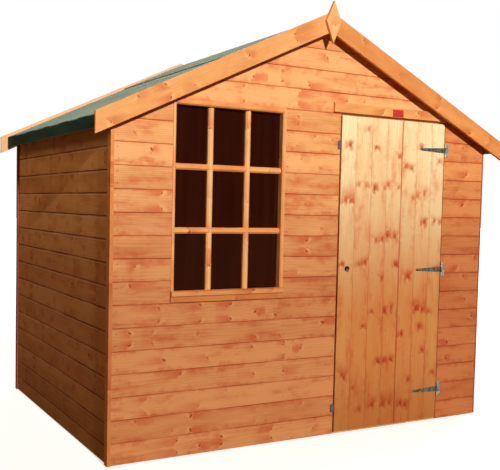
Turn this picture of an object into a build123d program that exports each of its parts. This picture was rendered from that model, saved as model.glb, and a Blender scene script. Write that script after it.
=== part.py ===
"""Wooden garden shed with an apex roof, a ledged and braced door and a nine-pane window.

Millimetres, +Z up. The ground is z = 0 and the origin is the centre of the floor plan.
The doorway wall faces -Y. Helper functions take x from the left wall's outer face and
y from the front boarding's outer face, and move both to the centred origin.
"""

import os

from build123d import *

# overall size
WIDTH = 2440
DEPTH = 1846
EAVES = 1738
SLOPE = 0.4767
CLADDING = 12
CLAD_FOOT = 6

# floor
BEARERS = 5
BEARER_HIGH = 44
BEARER_WIDE = 58
FLOOR_BOARD = 12

# wall framing
STUD = 38
SIDE_STUDS = 4
BACK_BAYS = 4
FRAME_DEEP = 34
RAFTER = 42
HEAD_RAIL = 22
LOCK_STOP = 13
HINGE_STOP = 15
HEAD_STOP = 12

# roof
PURLIN = 38
RIDGE_DEEP = 70
RIDGE_THICK = 18
ROOF_BOARD = 12
FELT = 3
FLAP_DROP = 2
SIDE_OVERHANG = 60
GABLE_OVERHANG = 45
BARGE_THICK = 18
BARGE_DEEP = 109
BARGE_DROP = 71
BARGE_REACH = 106
FASCIA_THICK = 18
FINIAL_UP = 94
FINIAL_DOWN = 134
FINIAL_WAIST = -16
FINIAL_WIDE = 98
FINIAL_THICK = 18
FASCIA_FOOT = 1661

# corner strips
STRIP_THICK = 12
STRIP_WIDE = 31
STRIP_LAP = 6
STRIP_DROP = 8

# door
OPENING_LEFT = 1340
OPENING_RIGHT = 2122
OPENING_TOP = 1824
DOOR_GAP = 8
DOOR_FOOT = 14
DOOR_TOP = 1816
DOOR_THICK = 12
DOOR_PROUD = 5
LOCK_BOARD = 103
HOLE_RADIUS = 17
HOLE_IN = 62
HOLE_HIGH = 950
LEDGE_HIGH = 95
LEDGE_THICK = 20
LEDGE_HEIGHTS = (195, 936, 1658)
LEDGE_LOCK_GAP = 25
LEDGE_HINGE_GAP = 27
BRACE_WIDE = 70
HEAD_STRIP_THICK = 15
HEAD_STRIP_HIGH = 54
HEAD_STRIP_RISE = 6
HEAD_STRIP_PAST = 53
HEAD_STRIP_SHORT = 30
LABEL_IN = 359
LABEL_WIDE = 77
LABEL_HIGH = 41
LABEL_THICK = 3
LABEL_RISE = 3

# hinges and turn buttons
PIN_RADIUS = 3
PIN_CLEARANCE = 0.1
BARREL_RADIUS = 6
STRAP_LONG = 198
STRAP_TIP = 6
STRAP_NECK = 12
STRAP_THICK = 3
STRAP_BARREL = 31
PLATE_HIGH = 81
PLATE_WIDE = 22
PLATE_OFF = 10
KNUCKLE_GAP = 1
HINGE_PAST = 5
BUTTON_LONG = 48
BUTTON_WIDE = 18
BUTTON_THICK = 3
BUTTON_HEIGHTS = (155, 1651)
BUTTON_OFF = 9
BUTTON_CLEAR = 1
BUTTON_HOLE = 2.1
SCREW_SHANK = 2
SCREW_HEAD = 5
SCREW_HEAD_HIGH = 3
SCREW_PLAY = 0.1

# window
WINDOW_LEFT = 317
WINDOW_RIGHT = 978
WINDOW_FOOT = 832
FRAME_PROUD = 6
SASH = 17.5
SASH_HEAD = 27
SASH_FOOT = 24
SASH_BEVEL = 7
BAR = 32
BAR_DEEP = 23
BAR_BEVEL = 9
GLASS_BACK = 35
GLASS_THICK = 3
SILL_PAST = 4
SILL_DEEP = 18
SILL_NOSE = 22
SILL_ROUND = 3
SILL_RISE = 4
APRON_HIGH = 31
APRON_THICK = 12

# derived
BACK = DEPTH
CENTRE = WIDTH / 2
ROOF_RISE = ROOF_BOARD * (1 + SLOPE**2) ** 0.5
FELT_RISE = FELT * (1 + SLOPE**2) ** 0.5
FLOOR_TOP = BEARER_HIGH + FLOOR_BOARD
INNER = CLADDING + FRAME_DEEP
DOOR_LEFT = OPENING_LEFT + DOOR_GAP
DOOR_RIGHT = OPENING_RIGHT - DOOR_GAP
AXIS_X = DOOR_RIGHT + HINGE_PAST
AXIS_Y = -DOOR_PROUD - BARREL_RADIUS


def underside(x):
    """Height of the roof boards' underside at distance x from the left wall."""
    return EAVES + SLOPE * min(x, WIDTH - x)


def block(x0, x1, y0, y1, z0, z1):
    """A squared timber between three pairs of faces."""
    with BuildSketch(Plane.XY.offset(z0)) as profile:
        with Locations(((x0 + x1) / 2 - WIDTH / 2, (y0 + y1) / 2 - DEPTH / 2)):
            Rectangle(x1 - x0, y1 - y0)
    extrude(profile.sketch, amount=z1 - z0)


def panel(corners, y0, y1):
    """A flat piece from its outline seen from the front, between two depths."""
    with BuildSketch(Plane.XZ.offset(DEPTH / 2 - y1)) as profile:
        with BuildLine():
            Polyline([(x - WIDTH / 2, z) for x, z in corners], close=True)
        make_face()
    extrude(profile.sketch, amount=y1 - y0)


def moulding(section, x0, x1, round_edge=0):
    """A moulded length lying along x, from its section as (y, z) points."""
    with BuildSketch(Plane.YZ.offset(x0 - WIDTH / 2)) as profile:
        with BuildLine():
            Polyline([(y - DEPTH / 2, z) for y, z in section], close=True)
        make_face()
        if round_edge:
            fillet(profile.vertices().group_by(Axis.X)[0], radius=round_edge)
    extrude(profile.sketch, amount=x1 - x0)


def upright(section, z0, z1):
    """A moulded upright, from its section as (x, y) points."""
    with BuildSketch(Plane.XY.offset(z0)) as profile:
        with BuildLine():
            Polyline([(x - WIDTH / 2, y - DEPTH / 2) for x, y in section], close=True)
        make_face()
    extrude(profile.sketch, amount=z1 - z0)


def disc(x, z, radius, y0, y1, mode=Mode.ADD):
    """A round lying along y."""
    with BuildSketch(Plane.XZ.offset(DEPTH / 2 - y1)) as profile:
        with Locations((x - WIDTH / 2, z)):
            Circle(radius)
    extrude(profile.sketch, amount=y1 - y0, mode=mode)


def barrel(radius, z0, z1, mode=Mode.ADD):
    """A round standing on the door's hinge line."""
    with BuildSketch(Plane.XY.offset(z0)) as profile:
        with Locations((AXIS_X - WIDTH / 2, AXIS_Y - DEPTH / 2)):
            Circle(radius)
    extrude(profile.sketch, amount=z1 - z0, mode=mode)


def post(x0, x1, y0, y1, z0, drop):
    """An upright whose top is cut to the roof slope, a set drop below the roof boards."""
    outline = [(x0, z0), (x1, z0), (x1, underside(x1) - drop), (x0, underside(x0) - drop)]
    panel(outline, y0, y1)


def sloping(side, x0, x1, y0, y1, low, high):
    """A piece that follows the left or right roof slope, low to high above the underside."""
    a = x0 if side == "left" else WIDTH - x0
    b = x1 if side == "left" else WIDTH - x1
    za = EAVES + SLOPE * x0
    zb = EAVES + SLOPE * x1
    panel([(a, za + low), (b, zb + low), (b, zb + high), (a, za + high)], y0, y1)


# ---------------------------------------------------------------- floor
with BuildPart() as floor_bearers:
    for i in range(BEARERS):
        gap = (DEPTH - 2 * CLADDING - BEARER_WIDE) / (BEARERS - 1)
        mid = BEARER_WIDE / 2 + CLADDING + i * gap
        block(
            CLADDING, WIDTH - CLADDING, mid - BEARER_WIDE / 2, mid + BEARER_WIDE / 2, 0, BEARER_HIGH
        )

with BuildPart() as floor_boards:
    block(CLADDING, WIDTH - CLADDING, CLADDING, BACK - CLADDING, BEARER_HIGH, FLOOR_TOP)

# ---------------------------------------------------------------- front boarding
with BuildPart() as front_cladding_lower:
    block(0, OPENING_LEFT, 0, CLADDING, CLAD_FOOT, WINDOW_FOOT)

with BuildPart() as front_cladding_left:
    knee = (OPENING_TOP - EAVES) / SLOPE
    panel(
        [
            (0, WINDOW_FOOT),
            (WINDOW_LEFT, WINDOW_FOOT),
            (WINDOW_LEFT, OPENING_TOP),
            (knee, OPENING_TOP),
            (0, EAVES),
        ],
        0,
        CLADDING,
    )

with BuildPart() as front_cladding_middle:
    block(WINDOW_RIGHT, OPENING_LEFT, 0, CLADDING, WINDOW_FOOT, OPENING_TOP)

with BuildPart() as front_cladding_hinge_side:
    panel(
        [
            (OPENING_RIGHT, CLAD_FOOT),
            (WIDTH, CLAD_FOOT),
            (WIDTH, EAVES),
            (WIDTH - knee, OPENING_TOP),
            (OPENING_RIGHT, OPENING_TOP),
        ],
        0,
        CLADDING,
    )

with BuildPart() as front_cladding_gable:
    panel(
        [(knee, OPENING_TOP), (WIDTH - knee, OPENING_TOP), (CENTRE, underside(CENTRE))],
        0,
        CLADDING,
    )

# ---------------------------------------------------------------- side and back boarding
with BuildPart() as left_cladding:
    post(0, CLADDING, CLADDING, BACK - CLADDING, CLAD_FOOT, 0)

with BuildPart() as right_cladding:
    post(WIDTH - CLADDING, WIDTH, CLADDING, BACK - CLADDING, CLAD_FOOT, 0)

with BuildPart() as back_cladding:
    panel(
        [
            (0, CLAD_FOOT),
            (WIDTH, CLAD_FOOT),
            (WIDTH, EAVES),
            (CENTRE, underside(CENTRE)),
            (0, EAVES),
        ],
        BACK - CLADDING,
        BACK,
    )

# ---------------------------------------------------------------- wall framing
RAIL_TOP = FLOOR_TOP + FRAME_DEEP
STOP_LEFT = OPENING_LEFT + LOCK_STOP
STOP_RIGHT = OPENING_RIGHT - HINGE_STOP
with BuildPart() as front_wall_studs:
    post(CLADDING, CLADDING + STUD, CLADDING, INNER, FLOOR_TOP, RAFTER)
    post(WINDOW_LEFT - STUD, WINDOW_LEFT, CLADDING, INNER, RAIL_TOP, RAFTER)
    post(WINDOW_RIGHT, WINDOW_RIGHT + STUD, CLADDING, INNER, RAIL_TOP, RAFTER)
    post(OPENING_LEFT - STUD, STOP_LEFT, CLADDING, INNER, FLOOR_TOP, RAFTER)
    post(STOP_RIGHT, OPENING_RIGHT + STUD, CLADDING, INNER, FLOOR_TOP, RAFTER)
    post(WIDTH - CLADDING - STUD, WIDTH - CLADDING, CLADDING, INNER, FLOOR_TOP, RAFTER)

with BuildPart() as front_wall_rails:
    block(CLADDING + STUD, OPENING_LEFT - STUD, CLADDING, INNER, FLOOR_TOP, RAIL_TOP)
    block(
        OPENING_RIGHT + STUD, WIDTH - CLADDING - STUD, CLADDING, INNER, FLOOR_TOP, RAIL_TOP
    )
    block(WINDOW_LEFT, WINDOW_RIGHT, CLADDING, INNER, WINDOW_FOOT - FRAME_DEEP, WINDOW_FOOT)
    block(WINDOW_LEFT, WINDOW_RIGHT, CLADDING, INNER, OPENING_TOP, OPENING_TOP + HEAD_RAIL)
    block(
        STOP_LEFT,
        STOP_RIGHT,
        CLADDING,
        INNER,
        DOOR_TOP - HEAD_STOP,
        OPENING_TOP + HEAD_RAIL / 2,
    )

with BuildPart() as back_wall_studs:
    for i in range(BACK_BAYS + 1):
        x0 = CLADDING + i * (WIDTH - 2 * CLADDING - STUD) / BACK_BAYS
        foot = FLOOR_TOP if i in (0, BACK_BAYS) else RAIL_TOP
        if 2 * i == BACK_BAYS:
            top = underside(x0) - RAFTER
            block(x0, x0 + STUD, BACK - INNER, BACK - CLADDING, foot, top)
        else:
            post(x0, x0 + STUD, BACK - INNER, BACK - CLADDING, foot, RAFTER)

with BuildPart() as back_wall_rails:
    block(
        CLADDING + STUD, WIDTH - CLADDING - STUD, BACK - INNER, BACK - CLADDING, FLOOR_TOP, RAIL_TOP
    )

with BuildPart() as side_wall_studs:
    for x0 in (CLADDING, WIDTH - INNER):
        for i in range(SIDE_STUDS):
            y0 = INNER + i * (DEPTH - 2 * INNER - STUD) / (SIDE_STUDS - 1)
            block(x0, x0 + FRAME_DEEP, y0, y0 + STUD, RAIL_TOP, EAVES - FRAME_DEEP)

with BuildPart() as side_wall_rails:
    for x0 in (CLADDING, WIDTH - INNER):
        block(x0, x0 + FRAME_DEEP, INNER, BACK - INNER, FLOOR_TOP, RAIL_TOP)
        post(x0, x0 + FRAME_DEEP, INNER, BACK - INNER, EAVES - FRAME_DEEP, 0)

# ---------------------------------------------------------------- roof framing
with BuildPart() as left_rafters:
    for y0 in (CLADDING, BACK - INNER):
        sloping("left", CLADDING, CENTRE, y0, y0 + FRAME_DEEP, -RAFTER, 0)

with BuildPart() as right_rafters:
    for y0 in (CLADDING, BACK - INNER):
        sloping("right", CLADDING, CENTRE, y0, y0 + FRAME_DEEP, -RAFTER, 0)

with BuildPart() as roof_bearers:
    low = (CENTRE - PURLIN) / 2
    for side in ("left", "right"):
        sloping(side, low, low + PURLIN, INNER, BACK - INNER, -RAFTER, 0)
    ridge_left = CENTRE - RIDGE_THICK / 2
    ridge_top = underside(ridge_left)
    block(
        ridge_left,
        ridge_left + RIDGE_THICK,
        INNER,
        BACK - INNER,
        ridge_top - RIDGE_DEEP,
        ridge_top,
    )

# ---------------------------------------------------------------- roof covering
ROOF_FRONT = -GABLE_OVERHANG
ROOF_BACK = BACK + GABLE_OVERHANG
BOARD_EDGE = -(SIDE_OVERHANG - FELT)

with BuildPart() as roof_boards_left:
    sloping("left", BOARD_EDGE, CENTRE, ROOF_FRONT, ROOF_BACK, 0, ROOF_RISE)

with BuildPart() as roof_boards_right:
    sloping("right", BOARD_EDGE, CENTRE, ROOF_FRONT, ROOF_BACK, 0, ROOF_RISE)

with BuildPart() as eaves_fascias:
    post(BOARD_EDGE, BOARD_EDGE + FASCIA_THICK, ROOF_FRONT, ROOF_BACK, FASCIA_FOOT, 0)
    post(
        WIDTH - BOARD_EDGE - FASCIA_THICK, WIDTH - BOARD_EDGE, ROOF_FRONT, ROOF_BACK, FASCIA_FOOT, 0
    )

with BuildPart() as roof_felt_left:
    sloping(
        "left", -SIDE_OVERHANG, CENTRE, ROOF_FRONT, ROOF_BACK, ROOF_RISE, ROOF_RISE + FELT_RISE
    )

with BuildPart() as roof_felt_right:
    sloping(
        "right", -SIDE_OVERHANG, CENTRE, ROOF_FRONT, ROOF_BACK, ROOF_RISE, ROOF_RISE + FELT_RISE
    )

with BuildPart() as eaves_felt_flaps:
    post(-SIDE_OVERHANG, BOARD_EDGE, ROOF_FRONT, ROOF_BACK, FASCIA_FOOT - FLAP_DROP, -ROOF_RISE)
    post(
        WIDTH - BOARD_EDGE,
        WIDTH + SIDE_OVERHANG,
        ROOF_FRONT,
        ROOF_BACK,
        FASCIA_FOOT - FLAP_DROP,
        -ROOF_RISE,
    )

# ---------------------------------------------------------------- gable trim
BARGE_FRONT = ROOF_FRONT - BARGE_THICK
with BuildPart() as bargeboards_left:
    for y0 in (BARGE_FRONT, ROOF_BACK):
        sloping(
            "left", -BARGE_REACH, CENTRE, y0, y0 + BARGE_THICK, -BARGE_DROP, BARGE_DEEP - BARGE_DROP
        )

with BuildPart() as bargeboards_right:
    for y0 in (BARGE_FRONT, ROOF_BACK):
        sloping(
            "right", -BARGE_REACH, CENTRE, y0, y0 + BARGE_THICK, -BARGE_DROP, BARGE_DEEP - BARGE_DROP
        )

with BuildPart() as gable_finial:
    apex = underside(CENTRE)
    panel(
        [
            (CENTRE, apex + FINIAL_UP),
            (CENTRE + FINIAL_WIDE / 2, apex + FINIAL_WAIST),
            (CENTRE, apex - FINIAL_DOWN),
            (CENTRE - FINIAL_WIDE / 2, apex + FINIAL_WAIST),
        ],
        BARGE_FRONT - FINIAL_THICK,
        BARGE_FRONT,
    )

with BuildPart() as corner_strips:
    strip_top = EAVES - STRIP_DROP
    block(-STRIP_THICK, 0, BACK - STRIP_WIDE, BACK, CLAD_FOOT, strip_top)
    block(WIDTH, WIDTH + STRIP_THICK, 0, STRIP_WIDE, CLAD_FOOT, strip_top)
    block(WIDTH, WIDTH + STRIP_THICK, BACK - STRIP_WIDE, BACK, CLAD_FOOT, strip_top)

# the doorway wall's window-side corner carries a rebated strip that laps both faces
with BuildPart() as front_corner_strip:
    left = -WIDTH / 2
    front = -DEPTH / 2
    with BuildSketch(Plane.XY.offset(CLAD_FOOT)):
        with BuildLine():
            Polyline(
                [
                    (left - STRIP_THICK, front - STRIP_THICK),
                    (left + STRIP_LAP, front - STRIP_THICK),
                    (left + STRIP_LAP, front),
                    (left, front),
                    (left, front + STRIP_WIDE),
                    (left - STRIP_THICK, front + STRIP_WIDE),
                ],
                close=True,
            )
        make_face()
    extrude(amount=strip_top - CLAD_FOOT)

# ---------------------------------------------------------------- window
CLEAR_LEFT = WINDOW_LEFT + SASH
CLEAR_RIGHT = WINDOW_RIGHT - SASH
CLEAR_FOOT = WINDOW_FOOT + SASH_FOOT
CLEAR_TOP = OPENING_TOP - SASH_HEAD
PANE_WIDE = (CLEAR_RIGHT - CLEAR_LEFT - 2 * BAR) / 3
PANE_HIGH = (CLEAR_TOP - CLEAR_FOOT - 2 * BAR) / 3
BAR_FRONT = GLASS_BACK - BAR_DEEP

SASH_FRONT = -FRAME_PROUD

with BuildPart() as window_jambs:
    for outer, inner in ((WINDOW_LEFT, CLEAR_LEFT), (WINDOW_RIGHT, CLEAR_RIGHT)):
        bevel = SASH_BEVEL if inner < outer else -SASH_BEVEL
        upright(
            [
                (outer, INNER),
                (outer, SASH_FRONT),
                (inner + bevel, SASH_FRONT),
                (inner, SASH_FRONT + SASH_BEVEL),
                (inner, INNER),
            ],
            WINDOW_FOOT,
            OPENING_TOP,
        )

# the rails run past the jambs' bevels and are scribed to them
with BuildPart() as window_rails:
    for outer, inner in ((WINDOW_FOOT, CLEAR_FOOT), (OPENING_TOP, CLEAR_TOP)):
        bevel = SASH_BEVEL if inner < outer else -SASH_BEVEL
        moulding(
            [
                (INNER, outer),
                (SASH_FRONT, outer),
                (SASH_FRONT, inner + bevel),
                (SASH_FRONT + SASH_BEVEL, inner),
                (INNER, inner),
            ],
            WINDOW_LEFT,
            WINDOW_RIGHT,
        )
    add(window_jambs.part, mode=Mode.SUBTRACT)

with BuildPart() as window_glass:
    block(
        CLEAR_LEFT, CLEAR_RIGHT, GLASS_BACK, GLASS_BACK + GLASS_THICK, CLEAR_FOOT, CLEAR_TOP
    )


def bar_section(start):
    """A glazing bar's section from its first side: square behind, bevelled in front."""
    return [
        (start, GLASS_BACK),
        (start, BAR_FRONT + BAR_BEVEL),
        (start + BAR_BEVEL, BAR_FRONT),
        (start + BAR - BAR_BEVEL, BAR_FRONT),
        (start + BAR, BAR_FRONT + BAR_BEVEL),
        (start + BAR, GLASS_BACK),
    ]


with BuildPart() as window_bars_upright:
    for i in (1, 2):
        x0 = CLEAR_LEFT + i * PANE_WIDE + (i - 1) * BAR
        upright(bar_section(x0), CLEAR_FOOT, CLEAR_TOP)

# the level bars are cut in three and scribed over the uprights' bevels
with BuildPart() as window_bars_level:
    for i in (1, 2):
        z0 = CLEAR_FOOT + i * PANE_HIGH + (i - 1) * BAR
        moulding([(y, z) for z, y in bar_section(z0)], CLEAR_LEFT, CLEAR_RIGHT)
    add(window_bars_upright.part, mode=Mode.SUBTRACT)

# the sill's top sheds water outward and its nose is rounded
with BuildPart() as window_sill:
    nose = SASH_FRONT - SILL_DEEP
    moulding(
        [
            (SASH_FRONT, WINDOW_FOOT),
            (nose, WINDOW_FOOT),
            (nose, WINDOW_FOOT + SILL_NOSE),
            (SASH_FRONT, CLEAR_FOOT + SILL_RISE),
        ],
        WINDOW_LEFT - SILL_PAST,
        WINDOW_RIGHT - SILL_PAST,
        SILL_ROUND,
    )

with BuildPart() as window_apron:
    block(
        WINDOW_LEFT - SILL_PAST,
        WINDOW_RIGHT,
        -APRON_THICK,
        0,
        WINDOW_FOOT - APRON_HIGH,
        WINDOW_FOOT,
    )

# ---------------------------------------------------------------- door
DOOR_FACE = -DOOR_PROUD
DOOR_REAR = DOOR_FACE + DOOR_THICK
BOARD_JOINT = DOOR_LEFT + LOCK_BOARD
HOLE_X = DOOR_LEFT + HOLE_IN

with BuildPart() as door_lock_board:
    block(DOOR_LEFT, BOARD_JOINT, DOOR_FACE, DOOR_REAR, DOOR_FOOT, DOOR_TOP)
    disc(HOLE_X, HOLE_HIGH, HOLE_RADIUS, DOOR_FACE - 1, DOOR_REAR + 1, Mode.SUBTRACT)

with BuildPart() as door_boards:
    block(BOARD_JOINT, DOOR_RIGHT, DOOR_FACE, DOOR_REAR, DOOR_FOOT, DOOR_TOP)

LEDGE_LEFT = DOOR_LEFT + LEDGE_LOCK_GAP
LEDGE_RIGHT = DOOR_RIGHT - LEDGE_HINGE_GAP
LEDGE_REAR = DOOR_REAR + LEDGE_THICK
with BuildPart() as door_ledges:
    for mid in LEDGE_HEIGHTS:
        foot = mid - LEDGE_HIGH / 2
        block(LEDGE_LEFT, LEDGE_RIGHT, DOOR_REAR, LEDGE_REAR, foot, foot + LEDGE_HIGH)
    disc(HOLE_X, HOLE_HIGH, HOLE_RADIUS, DOOR_REAR, LEDGE_REAR + 1, Mode.SUBTRACT)

# each brace climbs from the hinge side to the lock side, so the door hangs on its foot
with BuildPart() as door_braces:
    for below, above in zip(LEDGE_HEIGHTS, LEDGE_HEIGHTS[1:]):
        foot = below + LEDGE_HIGH / 2
        head = above - LEDGE_HIGH / 2
        run = LEDGE_RIGHT - LEDGE_LEFT
        seat = BRACE_WIDE * (1 + (run / (head - foot)) ** 2) ** 0.5
        panel(
            [
                (LEDGE_RIGHT - seat, foot),
                (LEDGE_RIGHT, foot),
                (LEDGE_LEFT + seat, head),
                (LEDGE_LEFT, head),
            ],
            DOOR_REAR,
            LEDGE_REAR,
        )

STRAP_FRONT = DOOR_FACE - STRAP_THICK
with BuildPart() as door_hinge_straps:
    for mid in LEDGE_HEIGHTS:
        tip = AXIS_X - STRAP_LONG + STRAP_TIP
        neck = AXIS_X - STRAP_NECK
        foot = mid - STRAP_BARREL / 2
        head = mid + STRAP_BARREL / 2
        panel(
            [
                (tip, mid - STRAP_TIP),
                (neck, foot),
                (AXIS_X, foot),
                (AXIS_X, head),
                (neck, head),
                (tip, mid + STRAP_TIP),
            ],
            STRAP_FRONT,
            DOOR_FACE,
        )
        disc(tip, mid, STRAP_TIP, STRAP_FRONT, DOOR_FACE)
        barrel(BARREL_RADIUS, foot, head)
        barrel(PIN_RADIUS + PIN_CLEARANCE, foot - 1, head + 1, Mode.SUBTRACT)

# the fixed leaf lies on the boarding and is cranked forward to its two knuckles
LEAF = AXIS_X + PLATE_OFF
LEAF_FRONT = -STRAP_THICK
CRANK_FRONT = AXIS_Y + BARREL_RADIUS / 3
CRANK_BACK = CRANK_FRONT + STRAP_THICK + 1
cranked = [
    (AXIS_X, CRANK_FRONT),
    (AXIS_X + BARREL_RADIUS - 1, CRANK_FRONT),
    (LEAF + 1, LEAF_FRONT),
    (LEAF + 1, 0),
    (LEAF - 1, 0),
    (AXIS_X + BARREL_RADIUS - 2, CRANK_BACK),
    (AXIS_X, CRANK_BACK),
]
with BuildPart() as door_hinge_plates:
    for mid in LEDGE_HEIGHTS:
        foot = mid - PLATE_HIGH / 2
        head = mid + PLATE_HIGH / 2
        knuckle = (PLATE_HIGH - STRAP_BARREL) / 2 - KNUCKLE_GAP
        block(LEAF, LEAF + PLATE_WIDE, LEAF_FRONT, 0, foot, head)
        for z0 in (foot, head - knuckle):
            upright(cranked, z0, z0 + knuckle)
            barrel(BARREL_RADIUS, z0, z0 + knuckle)
        barrel(PIN_RADIUS, foot, head)

HEAD_STRIP_FOOT = OPENING_TOP + HEAD_STRIP_RISE
with BuildPart() as door_head_strip:
    block(
        OPENING_LEFT - HEAD_STRIP_PAST,
        OPENING_RIGHT - HEAD_STRIP_SHORT,
        -HEAD_STRIP_THICK,
        0,
        HEAD_STRIP_FOOT,
        HEAD_STRIP_FOOT + HEAD_STRIP_HIGH,
    )

with BuildPart() as label_plate:
    block(
        OPENING_LEFT + LABEL_IN,
        OPENING_LEFT + LABEL_IN + LABEL_WIDE,
        -HEAD_STRIP_THICK - LABEL_THICK,
        -HEAD_STRIP_THICK,
        HEAD_STRIP_FOOT + LABEL_RISE,
        HEAD_STRIP_FOOT + LABEL_RISE + LABEL_HIGH,
    )

# ---------------------------------------------------------------- turn buttons
BUTTON_X = OPENING_LEFT - BUTTON_OFF
BUTTON_BACK = DOOR_FACE - BUTTON_CLEAR
BUTTON_FRONT = BUTTON_BACK - BUTTON_THICK


def turn_button(z):
    """A steel button, upright at rest, that turns in front of the door's edge."""
    with BuildSketch(Plane.XZ.offset(DEPTH / 2 - BUTTON_BACK)) as profile:
        with Locations((BUTTON_X - WIDTH / 2, z)):
            SlotOverall(BUTTON_LONG, BUTTON_WIDE, rotation=90)
            Circle(BUTTON_HOLE, mode=Mode.SUBTRACT)
    extrude(profile.sketch, amount=BUTTON_THICK)


with BuildPart() as turn_button_lower:
    turn_button(BUTTON_HEIGHTS[0])

with BuildPart() as turn_button_upper:
    turn_button(BUTTON_HEIGHTS[1])

with BuildPart() as turn_button_screws:
    for z in BUTTON_HEIGHTS:
        head_back = BUTTON_FRONT - SCREW_PLAY
        disc(BUTTON_X, z, SCREW_HEAD, BUTTON_BACK + SCREW_PLAY, 0)
        disc(BUTTON_X, z, SCREW_SHANK, head_back, BUTTON_BACK + SCREW_PLAY)
        disc(BUTTON_X, z, SCREW_HEAD, head_back - SCREW_HEAD_HIGH + SCREW_PLAY, head_back)

# ---------------------------------------------------------------- export
pieces = {
    "floor_bearers": floor_bearers,
    "floor_boards": floor_boards,
    "front_cladding_lower": front_cladding_lower,
    "front_cladding_left": front_cladding_left,
    "front_cladding_middle": front_cladding_middle,
    "front_cladding_hinge_side": front_cladding_hinge_side,
    "front_cladding_gable": front_cladding_gable,
    "left_cladding": left_cladding,
    "right_cladding": right_cladding,
    "back_cladding": back_cladding,
    "front_wall_studs": front_wall_studs,
    "front_wall_rails": front_wall_rails,
    "back_wall_studs": back_wall_studs,
    "back_wall_rails": back_wall_rails,
    "side_wall_studs": side_wall_studs,
    "side_wall_rails": side_wall_rails,
    "left_rafters": left_rafters,
    "right_rafters": right_rafters,
    "roof_bearers": roof_bearers,
    "roof_boards_left": roof_boards_left,
    "roof_boards_right": roof_boards_right,
    "eaves_fascias": eaves_fascias,
    "roof_felt_left": roof_felt_left,
    "roof_felt_right": roof_felt_right,
    "eaves_felt_flaps": eaves_felt_flaps,
    "bargeboards_left": bargeboards_left,
    "bargeboards_right": bargeboards_right,
    "gable_finial": gable_finial,
    "corner_strips": corner_strips,
    "front_corner_strip": front_corner_strip,
    "window_jambs": window_jambs,
    "window_rails": window_rails,
    "window_glass": window_glass,
    "window_bars_upright": window_bars_upright,
    "window_bars_level": window_bars_level,
    "window_sill": window_sill,
    "window_apron": window_apron,
    "door_lock_board": door_lock_board,
    "door_boards": door_boards,
    "door_ledges": door_ledges,
    "door_braces": door_braces,
    "door_hinge_straps": door_hinge_straps,
    "door_hinge_plates": door_hinge_plates,
    "door_head_strip": door_head_strip,
    "label_plate": label_plate,
    "turn_button_lower": turn_button_lower,
    "turn_button_upper": turn_button_upper,
    "turn_button_screws": turn_button_screws,
}

os.makedirs("parts", exist_ok=True)
for name, piece in pieces.items():
    piece.part.label = name
    export_step(piece.part, f"parts/{name}.step")
    print(name, len(piece.part.solids()), round(piece.part.volume / 1e6, 3))
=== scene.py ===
"""The finish of the wooden garden shed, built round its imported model.

Metres, +Z up, in the model's own frame: the doorway wall faces -Y and the left wall -X.
Boards and timbers are meshes whose corners carry where they lie in their own board, so
that one wood material draws grain, knots and stain true to every piece.
"""

import itertools
import math
import random

import bmesh
import bpy
from mathutils import Matrix, Vector


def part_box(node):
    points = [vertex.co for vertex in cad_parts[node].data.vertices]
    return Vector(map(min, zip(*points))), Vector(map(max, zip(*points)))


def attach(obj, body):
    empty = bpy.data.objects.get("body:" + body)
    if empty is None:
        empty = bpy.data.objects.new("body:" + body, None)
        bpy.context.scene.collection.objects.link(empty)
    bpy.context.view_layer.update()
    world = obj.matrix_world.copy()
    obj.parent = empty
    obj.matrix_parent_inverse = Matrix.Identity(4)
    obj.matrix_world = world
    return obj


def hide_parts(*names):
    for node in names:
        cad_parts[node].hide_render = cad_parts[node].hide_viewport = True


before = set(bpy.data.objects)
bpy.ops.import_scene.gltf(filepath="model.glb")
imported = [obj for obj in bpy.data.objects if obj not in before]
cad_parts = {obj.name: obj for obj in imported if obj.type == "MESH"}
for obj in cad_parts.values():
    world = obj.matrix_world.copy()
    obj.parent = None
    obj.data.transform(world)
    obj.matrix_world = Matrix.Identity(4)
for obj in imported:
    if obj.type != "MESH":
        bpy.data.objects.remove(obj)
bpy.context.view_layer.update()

# ---------------------------------------------------------------- sizes
SAME = 1e-6  # nearer than this is the same place
SLIVER = 1e-4  # thinner than this is no board

# wall boards
BOARD_LINE = 0.114  # cover width
SIDE_DROP = 0.021  # the side walls' board lines lie this much lower
GROOVE_DEEP = 0.0034
LIP = 0.0022  # height of the eased lip at a board's low edge
SCOOP = 0.0048  # height of the scooped shoulder at its high edge
SCOOP_DEEP = (0.0009, 0.0028)  # depth of the shoulder's two middle corners
SET_BACK = 0.0007  # the most that a board sits back from the wall's face

# floor, roof and door boards
FLOOR_LINE = 0.119
ROOF_LINE = 0.105
FLAT_CHAMFER = 0.0015  # of the floor and roof boards
DOOR_LINE = 0.113
DOOR_CHAMFER = 0.0012
LAST_BOARD = 1.2  # a remainder narrower than this many boards is one board
OPEN_JOINT = 3  # the door joint that has opened up, counted from the lock board
OPEN_LINE = 0.0040  # width of its dark line on either board
WORN_ARRIS = ((0.0004, None), (0.0004, -0.0040), (0.0012, -0.0036), (0.0075, 0))

# timbers
PLANED = 0.0015  # rounding of most timbers' edges
KNOT_STEP = (0.10, 0.40)  # from one knot to the next along a board
FIRST_KNOT, LAST_KNOT = 0.04, 0.02  # the least from a board's two ends
PAIR_CHANCE, PAIR_BOARD = 0.35, 0.07  # of two knots side by side, in boards over this width
BOARD_KNOT = (0.005, 0.011)  # half lengths of knots
TIMBER_KNOT = (0.005, 0.010)

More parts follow.
